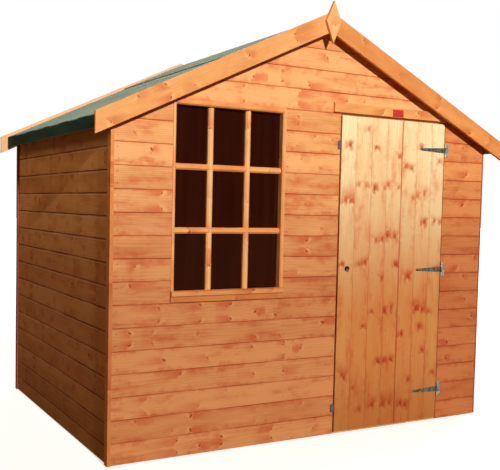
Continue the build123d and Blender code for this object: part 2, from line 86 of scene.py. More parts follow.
# roof felt
FELT_THICK = 0.003
RIDGE_STRIP = 0.5  # the strip's reach down each slope
RIDGE_LIFT = 0.0062  # height of the strip's underside over the boards
RIDGE_DIP = 0.002  # its fall over the ridge line itself
RIDGE_THICK = 0.0025
EAVES_TURN, EAVES_FALL = 0.006, 0.010  # the felt's bend at the eaves, across and down
UPRIGHT = 0.35  # felt whose normal rises less than this is the flap, which takes the dark copy of the felt as painted shade
FELT_ROWS = 49  # rows of corners from front to back
SLOPE_STEPS, STRIP_STEPS = 26, 24  # across a slope, and across the ridge strip

# nails and screws
NAIL_IN = 0.028  # from a board's line
NAIL_HEAD = (0.0024, 0.0010)  # radius and height
PALE_NAIL_HEAD = (0.0026, 0.0014)
SCREW_HEAD = (0.0032, 0.0012)
CLOUT_HEAD = (0.0045, 0.0012)
NAIL_STRAY = 0.004
NAIL_SUNK = 0.0006
CORNER_NAIL = 0.03  # from the side walls' ends
NAIL_CLEAR = (0.008, 0.016)  # from an opening's edge, up and along the wall
STUD_REACH = 0.03  # a board that ends nearer than this to a stud's middle is nailed to it
DOOR_NAIL_STRAY = (0.006, 0.012, 0.010)  # across, up at a ledge and up at a brace
DOOR_NAIL_SUNK = 0.0003
BRACE_END = 0.05  # of a brace's height, taken up by each of its ends
SCREW_DEEP = (0.009, 0.003)  # from a strap's knuckle, and out from the wall
CLOUT_STEP = 0.075
CLOUT_LIFT = 0.0105
CLOUT_IN = 0.02  # from the strip's edge, and from the felt's front and back

front_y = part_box("front_cladding_lower")[0].y
board_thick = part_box("front_cladding_lower")[1].y - front_y
left_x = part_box("left_cladding")[0].x
right_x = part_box("right_cladding")[1].x
back_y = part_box("back_cladding")[1].y
apex_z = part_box("back_cladding")[1].z
knee_x, knee_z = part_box("left_cladding")[1].x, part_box("left_cladding")[1].z
slope = (apex_z - knee_z) / -knee_x
slope_length = math.hypot(1, slope)

# ---------------------------------------------------------------- camera, light and stage
CAMERA_PLACE = (-2.550, -4.607, 1.295)
CAMERA_HEADING = -29.72
CAMERA_PITCH = -3.34
CAMERA_ROLL = 1.29
CAMERA_LENS = 57.65
CAMERA_RISE = 0.036
SUN_HEADING = math.radians(3.5)
SUN_HEIGHT = math.radians(17.5)
SUN_TRAVEL = (
    math.sin(SUN_HEADING) * math.cos(SUN_HEIGHT),
    math.cos(SUN_HEADING) * math.cos(SUN_HEIGHT),
    -math.sin(SUN_HEIGHT),
)
# name, power, softness in degrees, colour, direction of travel
LAMPS = (
    ("key", 3.3, 1.6, (1.0, 0.97, 0.93), SUN_TRAVEL),
    ("rear_fill", 2.6, 60, (1.0, 1.0, 1.0), (-0.66, -0.62, -0.42)),
    ("side_fill", 0.80, 36, (1.0, 0.80, 0.55), (1.0, 0.05, -1.20)),
)
SURROUND = (1.0, 0.46, 0.20)  # the light that fills the shadows
SURROUND_POWER = 0.07
FLOOR_REACH = 60.0
FLOOR_DROP = 0.0005
FLOOR_SIDES = 64
FLOOR_LIGHT = (0.13, 0.09, 0.06)  # the floor's colour in the light that it throws back


def make_camera():
    data = bpy.data.cameras.new("camera")
    data.lens = CAMERA_LENS
    data.sensor_width = 36
    data.shift_y = CAMERA_RISE
    data.clip_start = 0.05
    data.clip_end = 200
    camera = bpy.data.objects.new("camera", data)
    turn = Matrix.Rotation(math.radians(CAMERA_HEADING), 4, "Z")
    tip = Matrix.Rotation(math.radians(90 + CAMERA_PITCH), 4, "X")
    roll = Matrix.Rotation(math.radians(CAMERA_ROLL), 4, "Z")
    camera.matrix_world = Matrix.Translation(CAMERA_PLACE) @ turn @ tip @ roll
    bpy.context.scene.collection.objects.link(camera)
    bpy.context.scene.camera = camera


def make_lights():
    """A low, nearly frontal key, a broad fill behind and a warm one over the left wall."""
    for name, power, softness, colour, travel in LAMPS:
        data = bpy.data.lights.new(name, "SUN")
        data.energy = power
        data.angle = math.radians(softness)
        data.color = colour
        lamp = bpy.data.objects.new(name, data)
        lamp.rotation_mode = "QUATERNION"
        lamp.rotation_quaternion = Vector(travel).to_track_quat("-Z", "Y")
        bpy.context.scene.collection.objects.link(lamp)


# ---------------------------------------------------------------- material tools
def srgb(code):
    """A display colour, as six hex digits, in linear light."""
    part = [int(code[i : i + 2], 16) / 255 for i in (0, 2, 4)]
    return tuple(c / 12.92 if c <= 0.04045 else ((c + 0.055) / 1.055) ** 2.4 for c in part)


def sum_node(kind, swapped=False):
    """A Python operator that adds a Math node of this kind."""

    def apply(self, other=None):
        return self.graph.math(kind, *((other, self) if swapped else (self, other)))

    return apply


class Value:
    """A shader value, which takes part in sums as a number does."""

    def __init__(self, graph, socket):
        self.graph, self.socket = graph, socket

    __add__ = __radd__ = sum_node("ADD")
    __mul__ = __rmul__ = sum_node("MULTIPLY")
    __sub__, __rsub__ = sum_node("SUBTRACT"), sum_node("SUBTRACT", swapped=True)
    __truediv__, __rtruediv__ = sum_node("DIVIDE"), sum_node("DIVIDE", swapped=True)
    __pow__, __abs__ = sum_node("POWER"), sum_node("ABSOLUTE")


class Graph:
    """Short calls that build the nodes of a material or a world."""

    def __init__(self, name, family=bpy.data.materials, out="ShaderNodeOutputMaterial"):
        self.owner = family.new(name)
        self.owner.use_nodes = True
        self.tree = self.owner.node_tree
        self.tree.nodes.clear()
        self.out = self.tree.nodes.new(out)

    def put(self, socket, value):
        if isinstance(value, Value):
            self.tree.links.new(value.socket, socket)
        elif isinstance(value, tuple) and socket.type == "RGBA":
            socket.default_value = (*value, 1.0)
        elif value is not None:
            socket.default_value = value

    def node(self, kind, inputs=(), output=0, **settings):
        """Adds a node, its inputs given in order or by name, and returns an output."""
        made = self.tree.nodes.new(kind)
        for key, value in settings.items():
            setattr(made, key, value)
        for key, value in inputs.items() if isinstance(inputs, dict) else enumerate(inputs):
            self.put(made.inputs[key], value)
        return Value(self, made.outputs[output])

    def math(self, operation, *values):
        return self.node("ShaderNodeMath", values, operation=operation)

    def most(self, first, second):
        return self.math("MAXIMUM", first, second)

    def sign(self, value):
        return self.math("SIGN", value)

    def smooth(self, value, low, high):
        """0 under low, 1 over high, and an even curve between."""
        inputs = {"Value": value, "From Min": low, "From Max": high}
        return self.node("ShaderNodeMapRange", inputs, "Result", interpolation_type="SMOOTHSTEP")

    def fade(self, value, full, none):
        """1 under full, 0 over none."""
        return 1.0 - self.smooth(value, full, none)

    def split(self, vector):
        first = self.node("ShaderNodeSeparateXYZ", (vector,))
        return [Value(self, socket) for socket in first.socket.node.outputs]

    def join(self, x, y, z):
        return self.node("ShaderNodeCombineXYZ", (x, y, z))

    def carried(self, name):
        return self.node("ShaderNodeAttribute", output="Vector", attribute_name=name)

    def place(self):
        return self.node("ShaderNodeTexCoord", output="Object")

    def noise(self, vector, scale=1.0, detail=2.0, rough=0.5):
        inputs = {"Vector": vector, "Scale": scale, "Detail": detail, "Roughness": rough}
        return self.node("ShaderNodeTexNoise", inputs, "Fac")

    def mix(self, factor, first, second, blend="MIX"):
        inputs = {"Factor": factor, 6: first, 7: second}
        return self.node("ShaderNodeMix", inputs, 2, data_type="RGBA", blend_type=blend)

    def bump(self, height, strength, distance):
        inputs = {"Strength": strength, "Distance": distance, "Height": height}
        return self.node("ShaderNodeBump", inputs, "Normal")

    def surface(self, **values):
        inputs = {key.replace("_", " "): value for key, value in values.items()}
        return self.show(self.node("ShaderNodeBsdfPrincipled", inputs))

    def show(self, shader):
        self.put(self.out.inputs["Surface"], shader)
        return self.owner


# ---------------------------------------------------------------- wood
FINE, BROAD = 160.0, 26.0  # scales of the two noises that ruffle every edge
RINGS, MORE_RINGS = 45.0, 60.0  # growth lines in a metre, and what a board may have more
FIBRE_LONG, FIBRE_WIDE = 8.0, 420.0  # fibres in a metre, along and across
CLOUD_LONG, CLOUD_WIDE = 3.5, 14.0  # clouds of tone in a metre, along and across
KNOT_BEND = 0.8  # how far growth lines part round a knot
KNOT_SLIM = 3.6  # square of a knot's length over its width
FLAME_START = (-0.004, 0.008)  # where the stain beside a knot begins
FLAME_SIDE = (0.008, 0.036)  # its half width, where it is full and where it ends
FLARE_START = (-0.012, 0.0)  # the pale flare behind the knot, the same way
FLARE_END = (-0.035, -0.012)
FLARE_SIDE = (0.004, 0.020)
SHADE_HEIGHT = (0.65, 1.88)  # painted shade towards the ground: the lowest tint is full at the first height, none at the second
# the foot's painted shade, full at the first height, none at the second
FOOT_SHADE_HEIGHT = (0.02, 0.55)
# painted light on the far pieces: how far it takes to come in past rear_from, and its share
REAR_FADE, REAR_SHARE = 0.05, 0.72
# the colour of the painted highlight along a board's lip
LIP_HIGHLIGHT = "ffe8b2"


def wood(
    name,
    colours,
    patches,
    lowest=None,
    foot=None,
    rear=None,
    rear_from=0.90,
    joint=None,
    lip=0.0,
    haze=0.0,
    bloom=2.1,
    flames=0.7,
    breadth=1.0,
    core_tone=0.9,
    sawn=0.0,
):
    """Stained softwood: growth lines that part round the knots, fibre, and patchy stain.

    The mesh carries grain, the place along, across and through the board; knot, the way
    from the nearest knot and the signed run of its stain; mark, that knot's turn over its
    half length, and its strength; and board, a tone, the share of the way across, and a
    second draw.

    colours are the pale and the deep wood, the stain and a knot's heart. patches and haze
    are the stain's strength in patches and along the edges; bloom, flames, breadth and
    core_tone its width and strength at a knot. joint gives the shares of the dark line at
    the board's low and high edges, and its tone, and lip the strength of a painted highlight
    on the lip under that line. lowest and foot are painted shade, tints that darken the wood
    towards the ground by height; rear is painted light on what lies behind rear_from, paler
    on the trims and painted shade on the corner strips. sawn roughens the surface.
    """
    g = Graph(name)
    pale, deep, stain, heart = (srgb(colour) for colour in colours.split())
    grain = g.carried("grain")
    along, across, through = g.split(grain)
    tone, share, luck = g.split(g.carried("board"))
    away_u, away_v, spread = g.split(g.carried("knot"))
    turn_a, turn_b, strength = g.split(g.carried("mark"))
    fine = g.noise(grain, FINE) - 0.5
    broad = g.noise(grain, BROAD) - 0.5

    # the knot's own coordinates, in half lengths, drawn out into a dash
    knot_u = away_u * turn_a + away_v * turn_b
    knot_v = away_v * turn_a - away_u * turn_b
    reach = g.math("SQRT", knot_u**2.0 + knot_v**2.0 * KNOT_SLIM) + fine * 0.6

    # growth lines
    near = 1.0 / (1.0 + (knot_u**2.0 + knot_v**2.0) * 0.10)
    bent = across - away_v * near * (strength * KNOT_BEND)
    drift = g.noise(g.join(along * 0.9, across * 6.0, through * 6.0))
    lines = bent * (RINGS + luck * MORE_RINGS) + drift * 6.0
    late = g.smooth(g.math("SINE", lines * math.tau), 0.0, 1.0)
    cells = g.join(along * FIBRE_LONG, bent * FIBRE_WIDE, through * FIBRE_WIDE)
    fibre = g.noise(cells, rough=0.6)

    # base colour, clouded along the board
    clouds = g.join(along * CLOUD_LONG, across * CLOUD_WIDE, tone * 30.0)
    cloud = g.noise(clouds, detail=3.0, rough=0.6)
    depth = late * 0.22 + (fibre - 0.35) * 0.55
    depth = depth + ((tone - 0.5) * 0.6 + (cloud - 0.5) * 1.6)
    colour = g.mix(g.smooth(depth, -0.35, 0.85), pale, deep)

    # stain that hugs the edges, and stops short here and there
    edge = abs(share - 0.5) * 2.0
    steps = g.noise(g.join(along * 5.0, luck * 50.0, 0.0), detail=1.0)
    hug = g.smooth(edge + (broad * 1.5 + fine * 0.5), 0.45, 1.15)
    hug = hug * g.smooth(steps + broad * 0.12, 0.45, 0.57)
    soaked = g.most(hug * 0.75, g.smooth(cloud + broad * 0.35, 0.52, 0.78))
    colour = g.mix(soaked * patches, colour, stain)
    if haze:
        blush = g.smooth(edge + (broad * 0.5 + (cloud - 0.5) * 0.5), 0.66, 1.02)
        colour = g.mix(blush * haze, colour, stain)

    # stain beside a knot, cut off square at the knot, and a pale flare the other way
    front = away_u * g.sign(spread) + away_v * g.sign(turn_b) * 0.7 + fine * 0.02
    beside = abs(away_v) + broad * 0.035
    flame = g.smooth(front, *FLAME_START) * g.fade(away_u / spread, 0.0, 1.0)
    flame = flame * g.fade(beside, *(breadth * side for side in FLAME_SIDE))
    colour = g.mix(flame * strength * flames, colour, stain)
    light = tuple(min(1.0, 1.15 * c) for c in pale)
    flare = g.fade(front, *FLARE_START) * g.smooth(front, *FLARE_END)
    flare = flare * g.fade(beside, *FLARE_SIDE)
    colour = g.mix(flare * strength * 0.6, colour, light)

    # a pale arc, a stained rim and the dark heart, each in half lengths from the knot
    arc = g.smooth(reach, 1.6, 2.1) * g.fade(reach, 2.3, 2.9) * g.fade(knot_v, -0.2, 0.6)
    colour = g.mix(arc * strength * 0.5, colour, light)
    rim = g.fade(reach + broad * bloom, 0.8, bloom)
    colour = g.mix(rim * (strength * 0.7), colour, stain)
    colour = g.mix(g.fade(reach, 0.45, 1.0) * (strength * core_tone), colour, heart)

    # the dark line between boards, with a painted highlight on the lip under it
    if joint:
        low_line, high_line, line_tone = joint
        top = 1.0 - high_line
        line = g.most(
            g.fade(share, 0.5 * low_line, low_line), g.smooth(share, top, 1.0 - 0.5 * high_line)
        )
        line = line * g.smooth(cloud + fine * 0.4, 0.15, 0.75)
        colour = g.mix(line, colour, tuple(line_tone * c for c in stain))
        if lip:
            lip_highlight = g.smooth(share, top - 0.045, top - 0.025)
            lip_highlight = lip_highlight * g.fade(share, top - 0.005, top + 0.01)
            colour = g.mix(lip_highlight * lip, colour, srgb(LIP_HIGHLIGHT))

    # painted light and shade by place: rear paints the far pieces, lowest and foot paint shade
    # towards the ground
    _, depth_in, height = g.split(g.place())
    if rear:
        behind = g.smooth(depth_in, rear_from, rear_from + REAR_FADE)
        colour = g.mix(behind * REAR_SHARE, colour, srgb(rear))
    for tint, limits in ((lowest, SHADE_HEIGHT), (foot, FOOT_SHADE_HEIGHT)):
        if tint:
            shaded = g.mix(1.0, colour, tint, "MULTIPLY")
            colour = g.mix(g.fade(height, *limits), colour, shaded)

    groove = late * -0.35 + fibre * (0.5 + sawn)
    return g.surface(
        Base_Color=colour,
        Roughness=fibre * 0.22 + (0.50 + 0.2 * sawn),
        Specular_IOR_Level=0.2 if sawn else 0.3,
        Normal=g.bump(groove, 0.35 + 0.3 * sawn, 0.0006),
    )


# ---------------------------------------------------------------- other materials
def felt_material(name, pale, deep):
    """Mineral felt: coarse grit, faint bands along the roll and paler worn places."""
    g = Graph(name)
    place = g.place()
    x, y, z = g.split(place)
    grit = g.noise(place, 900.0, rough=0.7)
    coarse = g.noise(place, 260.0, rough=0.6)
    worn = g.noise(g.join(x * 5.0, y * 1.2, z * 5.0), detail=3.0, rough=0.6)
    shade = (grit - 0.5) * 1.1 + (coarse - 0.5) * 0.9 + (worn - 0.5) * 0.9
    return g.surface(
        Base_Color=g.mix(g.smooth(shade, -0.5, 0.5), srgb(deep), srgb(pale)),
        Roughness=0.9,
        Specular_IOR_Level=0.25,
        Normal=g.bump(grit * 0.5 + coarse, 0.6, 0.0012),
    )


def metal_material(name, clean, dull, rough, metallic):
    """Plated steel with dull patches and fine scratches."""
    g = Graph(name)
    cloud = g.noise(g.place(), 60.0, 3.0, 0.6)
    fine = g.noise(g.place(), 900.0)
    patch = g.smooth(cloud + (fine - 0.5) * 0.3, 0.35, 0.65)
    return g.surface(
        Base_Color=g.mix(patch, srgb(clean), srgb(dull)),
        Metallic=metallic,
        Roughness=rough + (cloud - 0.5) * 0.4,
        Normal=g.bump(fine, 0.2, 0.0003),
    )


def glass_material():
    """Glazing whose dark brown is painted shade of the dim room behind it, streaked with painted
    reflection and faintly dusty; a little of the room shows through.
    """
    g = Graph("glazing")
    x, y, z = g.split(g.place())
    reflection_streaks = g.noise(g.join(x * 22.0, y, z * 1.2))
    dust = g.noise(g.place(), 35.0, 3.0, 0.6)
    made = g.surface(
        # upright streaks of paler brown are a painted reflection
        Base_Color=g.mix(g.smooth(reflection_streaks, 0.30, 0.80), srgb("2e0e06"), srgb("3a150a")),
        Roughness=0.05 + g.smooth(dust, 0.5, 0.8) * 0.12,
        Alpha=0.72,
        IOR=1.45,
    )
    made.surface_render_method = "BLENDED"
    return made


def label_material():
    """Plain red printed plastic, slightly faded in patches."""
    g = Graph("plain_red_label")
    cloud = g.noise(g.place(), 45.0, 3.0, 0.6)
    fine = g.noise(g.place(), 600.0)
    colour = g.mix(g.smooth(cloud, 0.3, 0.7), srgb("d62628"), srgb("c43e34"))
    return g.surface(Base_Color=colour, Roughness=0.35, Normal=g.bump(fine, 0.1, 0.0002))


def make_world():
    """A white surround that lights the shed only softly."""
    g = Graph("studio", bpy.data.worlds, "ShaderNodeOutputWorld")
    soft = g.node("ShaderNodeBackground", (SURROUND, SURROUND_POWER))
    seen = g.node("ShaderNodeBackground", ((1.0, 1.0, 1.0), 1.0))
    path = g.node("ShaderNodeLightPath", output="Is Camera Ray")
    bpy.context.scene.world = g.show(g.node("ShaderNodeMixShader", (path, soft, seen)))


def stage_material():
    """The pale floor, which clears to white away from the shed."""
    g = Graph("pale_floor")
    x, y, _ = g.split(g.place())
    far = g.math("SQRT", x * x + y * y)
    seen = g.node("ShaderNodeLightPath", output="Is Camera Ray")
    pale = g.mix(g.noise(g.place(), 30.0), (0.80, 0.80, 0.80), (0.84, 0.84, 0.84))
    return g.surface(
        Base_Color=g.mix(seen, FLOOR_LIGHT, pale),
        Roughness=0.9,
        Specular_IOR_Level=0.0,
        Emission_Color=(1.0, 1.0, 1.0),
        Emission_Strength=(0.58 + g.smooth(far, 2.5, 9.0) * 0.6) * seen,
    )


# rear paints light on the far trims, paler there; lowest paints shade towards the ground
TRIM = {"patches": 0.22, "lowest": (0.66, 0.52, 0.46), "rear": "e8bc8e"}

board_wood = wood(
    "boarding_pine",
    "fcb876 e09252 dc622c 762c12",
    patches=0.66,
    lowest=(0.60, 0.48, 0.43),
    joint=(0.018, 0.042, 0.68),
    haze=0.22,
)
side_board_wood = wood(
    "side_boarding_pine",
    "fcb870 de9450 d67038 6e2810",
    patches=0.34,
    lowest=(0.56, 0.45, 0.39),
    foot=(0.74, 0.70, 0.58),
    # the dark joint line, widened and deepened so that it also paints the shade in the grooves
    joint=(0.030, 0.070, 0.34),
    # lip paints a highlight along each board's lip
    lip=0.55,
    haze=0.2,
)
# a deeper copy of the boarding that paints shade on the boards beside the hinges
shaded_board_wood = wood(
    "boarding_pine_painted_shade",
    "f0a05e d68246 ce5424 762c12",
    patches=0.60,
    lowest=(0.60, 0.46, 0.42),
    joint=(0.018, 0.042, 0.68),
    haze=0.22,
)
trim_wood = wood(
    "trim_pine", "fab870 e89a56 d46e32 7a3618", **TRIM
)
pale_trim_wood = wood(
    "trim_pine_pale",
    "ffce8a f0aa66 d86e34 7a3618",
    patches=0.22,
    lowest=(0.72, 0.58, 0.50),
)
rail_wood = wood(
    "rail_pine",
    "ffba70 ec9450 d6642c 783014",
    patches=0.3,
    lowest=(0.78, 0.60, 0.50),
    haze=0.15,
)
sash_wood = wood(
    "sash_pine",
    "ffc884 f0a462 da6e34 783014",
    patches=0.25,
    lowest=(0.80, 0.68, 0.60),
    haze=0.12,
)
strip_wood = wood(
    "corner_strip_pine",
    "ce6a3a b04e28 a03e1c 64220e",
    patches=0.3,
    lowest=(0.62, 0.50, 0.46),
    # rear paints shade on the far corner strips
    rear="803e22",
    rear_from=0.78,
)
deep_trim_wood = wood(
    "trim_pine_deep", "f2a45c dc8844 ce622c 7a3618", **TRIM
)
door_wood = wood(
    "door_pine",
    "fff0bc fccc92 de6e30 a8421a",
    patches=0.42,
    lowest=(0.56, 0.27, 0.125),
    foot=(0.78, 0.66, 0.52),
    joint=(0.005, 0.005, 0.90),
    haze=0.06,
    bloom=3.0,
    flames=1.0,
    breadth=1.5,
    core_tone=0.75,
)
frame_wood = wood(
    "framing_pine",
    "e2b27c ca925e ba6e3e 68361e",
    patches=0.2,
    sawn=0.5,
)
felt_green = felt_material("green_mineral_felt", "acc2b4", "708779")
# a dark copy of the felt for the turned-down flap: painted shade
shaded_felt = felt_material("green_mineral_felt_flap_painted_shade", "3e5c50", "0e221c")
hinge_metal = metal_material("hinge_plating", "8a8a7a", "3e3e34", 0.5, 0.6)
zinc = metal_material("bright_zinc", "bebcb2", "8c8a82", 0.35, 0.85)
leaf_metal = metal_material("hinge_leaf_plating", "ded8c2", "888474", 0.45, 0.6)
nail_metal = metal_material("dark_nail", "5c4232", "3c241a", 0.55, 0.5)


# ---------------------------------------------------------------- timber meshes
class Knot:
    """A knot at (u, v) in its board, in metres, with a half length, a turn and a strength.

    spread is how far the stain beside it runs along the board, and which way.
    """

    def __init__(self, u, v, radius, turn=0.0, strength=1.0, spread=0.08):
        self.u, self.v, self.spread = u, v, spread
        self.mark = (math.cos(turn) / radius, math.sin(turn) / radius, strength)


class Timber:
    """Collects boards and timbers into one mesh whose corners know their own board."""

    def __init__(self, seed):
        self.bm = bmesh.new()
        self.layers = [
            self.bm.loops.layers.float_vector.new(name)
            for name in ("grain", "knot", "mark", "board")
        ]
        self.draw = random.Random(seed)

    def knots_along(self, low, high, v_low, v_high, size=BOARD_KNOT):
        """Knots drawn for a board: now and then a pair, one each side of its middle."""
        draw, found = self.draw, []
        wide = v_high - v_low
        u = low + draw.uniform(FIRST_KNOT, KNOT_STEP[1])
        while u < high - LAST_KNOT:
            radius = draw.uniform(*size) * draw.choice((0.7, 1.0, 1.0))
            strength = draw.choice((0.35, 0.6, 0.8, 1.0))
            spread = draw.choice((-1, 1)) * draw.uniform(0.04, 0.22)
            slant = draw.uniform(0.4, 1.2)
            if draw.random() < PAIR_CHANCE and wide > PAIR_BOARD:
                middle = (v_low + v_high) / 2
                apart = draw.uniform(0.16, 0.40) * wide
                way = draw.choice((-1, 1))
                pair = (
                    Knot(u, middle - apart, radius, way * slant, strength, spread),
                    Knot(u, middle + apart, radius, -way * slant, strength, spread),
                )
            else:
                v = draw.uniform(v_low + 0.15 * wide, v_high - 0.15 * wide)
                turn = slant * draw.choice((-1, 1))
                pair = (Knot(u, v, radius, turn, strength, spread),) * 2
            found.append(pair)
            u += draw.uniform(*KNOT_STEP)
        return found

    def cells(self, knots, low, high):
        """Bounds along the board, with the pair of knots that rules between them."""
        if not knots:
            nothing = Knot(low - 20.0, 0.0, 0.01, strength=0.0)
            return [(low, high, (nothing, nothing))]
        cuts = [(a[0].u + b[0].u) / 2 for a, b in itertools.pairwise(knots)]
        bounds = itertools.pairwise((low, *cuts, high))
        return [(a, b, pair) for (a, b), pair in zip(bounds, knots)]

    def stamp(self, face, look, knot, where):
        """Writes a face's corner values; where gives a corner's own u, v and w."""
        grain, away, mark, board = self.layers
        for loop in face.loops:
            u, v, w = where(loop.vert)
            loop[grain] = Vector((u, v, w)) + look["offset"]
            loop[away] = (u - knot.u, v - knot.v, knot.spread)
            loop[mark] = knot.mark
            share = (v - look["low"]) / max(look["high"] - look["low"], SAME)
            loop[board] = (look["tone"], share, look["luck"])

    def new_look(self, low, high, draw=None):
        """What sets a board apart, and the low and high edge that its share runs between."""
        draw = draw or self.draw
        offset = Vector([draw.uniform(0, 40) for _ in range(3)])
        tone, luck = draw.random(), draw.random()
        return {"offset": offset, "tone": tone, "luck": luck, "low": low, "high": high}

    def board(self, section, ends, place, look=None, knots=None):
        """A board from its section, as (v, w) points round it, and its two end outlines.

        ends gives the lowest and highest u at a height v, and place turns u, v and w
        into a point of the model.
        """
        low, high = min(v for v, w in section), max(v for v, w in section)
        look = look or self.new_look(low, high)
        middle = (low + high) / 2
        reach = [ends(v) for v, w in section]
        inner_low, inner_high = max(a for a, b in reach), min(b for a, b in reach)
        if inner_high <= inner_low:
            knots = []
        elif knots is None:
            knots = self.knots_along(inner_low, inner_high, look["low"], look["high"])
        cells = self.cells(knots, inner_low, inner_high)
        known = {}

        def ring(u_at):
            """The section's corners at one station, whose u at a height v is u_at(v)."""
            made = []
            for v, w in section:
                made.append(self.bm.verts.new(place(u_at(v), v, w)))
                known[made[-1]] = (u_at(v), v, w)
            return made

        rings = [ring(lambda v: ends(v)[0])]
        rings += [ring(lambda v, cut=cut: cut) for _, cut, _ in cells[:-1]]
        rings.append(ring(lambda v: ends(v)[1]))
        for (near, far), (_, _, pair) in zip(itertools.pairwise(rings), cells):
            for i, face in enumerate(bridge(self.bm, near, far)):
                v = (section[i][0] + section[(i + 1) % len(section)][0]) / 2
                self.stamp(face, look, pair[0] if v < middle else pair[1], known.get)
        for end, (_, _, pair) in ((rings[0], cells[0]), (rings[-1], cells[-1])):
            self.stamp(self.bm.faces.new(end), look, pair[0], known.get)

    def copy(self, node, rounding, knots=None):
        """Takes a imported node's solids over as planed timbers with eased edges."""
        source = merged_mesh(node)
        bmesh.ops.dissolve_limit(
            source, angle_limit=math.radians(2), verts=source.verts, edges=source.edges
        )
        for island in islands(source):
            self.take(island, rounding, knots)
        source.free()

    def take(self, faces, rounding, knots):
        """One solid: found axes, eased edges, cuts between its knots, corner values."""
        piece = bmesh.new()
        twin = {}
        for face in faces:
            for vert in face.verts:
                if vert not in twin:
                    twin[vert] = piece.verts.new(vert.co)
            piece.faces.new([twin[vert] for vert in face.verts])
        # a tie in size goes by place or facing, so that each run finds the same axes
        longest = max(
            piece.edges, key=lambda e: (e.calc_length(), *(e.verts[0].co + e.verts[1].co))
        )
        u_axis = forward((longest.verts[1].co - longest.verts[0].co).normalized())
        piece.normal_update()
        sides = [f for f in piece.faces if abs(f.normal.dot(u_axis)) < 0.3]
        w_axis = max(sides, key=lambda f: (f.calc_area(), *f.normal)).normal.copy()
        v_axis = forward(w_axis.cross(u_axis).normalized())
        if rounding:
            bmesh.ops.bevel(
                piece,
                geom=list(piece.edges),
                offset=rounding,
                segments=2,
                profile=0.5,
                affect="EDGES",
                clamp_overlap=True,
            )

        def where(vert):
            return tuple(vert.co.dot(axis) for axis in (u_axis, v_axis, w_axis))

        spots = [where(vert) for vert in piece.verts]
        low, high = min(s[0] for s in spots), max(s[0] for s in spots)
        v_low, v_high = min(s[1] for s in spots), max(s[1] for s in spots)
        if knots is None:
            knots = self.knots_along(low, high, v_low, v_high, TIMBER_KNOT)
        cells = self.cells(knots, low, high)
        middle = (v_low + v_high) / 2
        for axis, cut in [(u_axis, cut) for _, cut, _ in cells[:-1]] + [(v_axis, middle)]:
            geometry = [*piece.verts, *piece.edges, *piece.faces]
            bmesh.ops.bisect_plane(piece, geom=geometry, plane_co=axis * cut, plane_no=axis)
        look = self.new_look(v_low, v_high)
        twin = {vert: self.bm.verts.new(vert.co) for vert in piece.verts}
        for face in piece.faces:
            centre = face.calc_center_median()
            pair = next((p for _, b, p in cells if centre.dot(u_axis) <= b), cells[-1][2])
            made = self.bm.faces.new([twin[vert] for vert in face.verts])
            self.stamp(made, look, pair[0] if centre.dot(v_axis) < middle else pair[1], where)
        piece.free()

    def done(self, name, material, body="shed", replaces=()):
        """Makes the object, gives it its material, and hangs it on its body."""
        bmesh.ops.recalc_face_normals(self.bm, faces=self.bm.faces)
        finish_mesh(self.bm, name, material, body, replaces)


def bridge(bm, near, far):
    """The faces all round between two rings of corners."""
    turn = [*range(1, len(near)), 0]
    return [bm.faces.new((near[i], near[j], far[j], far[i])) for i, j in enumerate(turn)]


def forward(axis):
    """The axis, turned round if its largest part is negative."""
    return -axis if max(axis, key=abs) < 0 else axis


def merged_mesh(node):
    """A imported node's mesh, with the corners that lie together made one."""
    source = bmesh.new()
    source.from_mesh(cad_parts[node].data)
    bmesh.ops.remove_doubles(source, verts=source.verts, dist=SAME)
    return source


def islands(mesh):
    """The faces of a mesh, one list for each joined solid."""
    left, found = dict.fromkeys(mesh.faces), []  # not a set, whose order changes between runs
    while left:
        group = [left.popitem()[0]]
        for face in group:
            for beside in (other for edge in face.edges for other in edge.link_faces):
                if beside in left:
                    del left[beside]
                    group.append(beside)
        found.append(group)
    found.sort(key=lambda g: tuple(round(c, 4) for c in centre_of(g)))
    return found


def centre_of(faces):
    points = [vert.co for face in faces for vert in face.verts]
    return sum(points, Vector()) / len(points)


def solid_boxes(node):
    """The lowest and highest corner of each solid in a node, from the lowest up."""
    source = merged_mesh(node)
    found = []
    for group in islands(source):
        points = [vert.co for face in group for vert in face.verts]
        found.append([Vector([end(p[i] for p in points) for i in range(3)]) for end in (min, max)])
    source.free()
    return sorted(found, key=lambda pair: pair[0].z)


def new_object(bm, name, material):
    mesh = bpy.data.meshes.new(name)
    bm.to_mesh(mesh)
    bm.free()
    mesh.materials.append(material)
    made = bpy.data.objects.new(name, mesh)
    bpy.context.scene.collection.objects.link(made)
    return made


def finish_mesh(bm, name, material, body="shed", replaces=()):
    """Makes the object and hangs it on its body, in place of the nodes that it replaces."""
    made = new_object(bm, name, material)
    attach(made, body)
    if replaces:
        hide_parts(*replaces)
    return made


# ---------------------------------------------------------------- wall boards
class Wall:
    """A boarded wall: the axis it runs along, its face, the way out, and a board line."""

    def __init__(self, across, face, way, offset):
        self.across, self.face, self.way, self.offset = across, face, way, offset
        self.out = (way, 0, 0) if across else (0, way, 0)

    def place(self, u, v, w):
        """The point u along the wall, v up it and w out from its face."""
        depth = self.face + self.way * w
        return Vector((depth, u, v) if self.across else (u, depth, v))

    def rows(self, low, high):
        """The boards between two heights: number, low edge and high edge."""
        first = math.floor((low - self.offset) / BOARD_LINE + SLIVER)
        lines = [low]
        line = self.offset + (first + 1) * BOARD_LINE
        while line < high - SLIVER:
            lines.append(line)
            line += BOARD_LINE
        lines.append(high)
        return [(first + i, a, b) for i, (a, b) in enumerate(itertools.pairwise(lines))]

    def is_line(self, z):
        """Whether a height is a board line, and not where an opening cuts a board."""
        lines = (z - self.offset) / BOARD_LINE
        return abs(lines - round(lines)) < 0.01


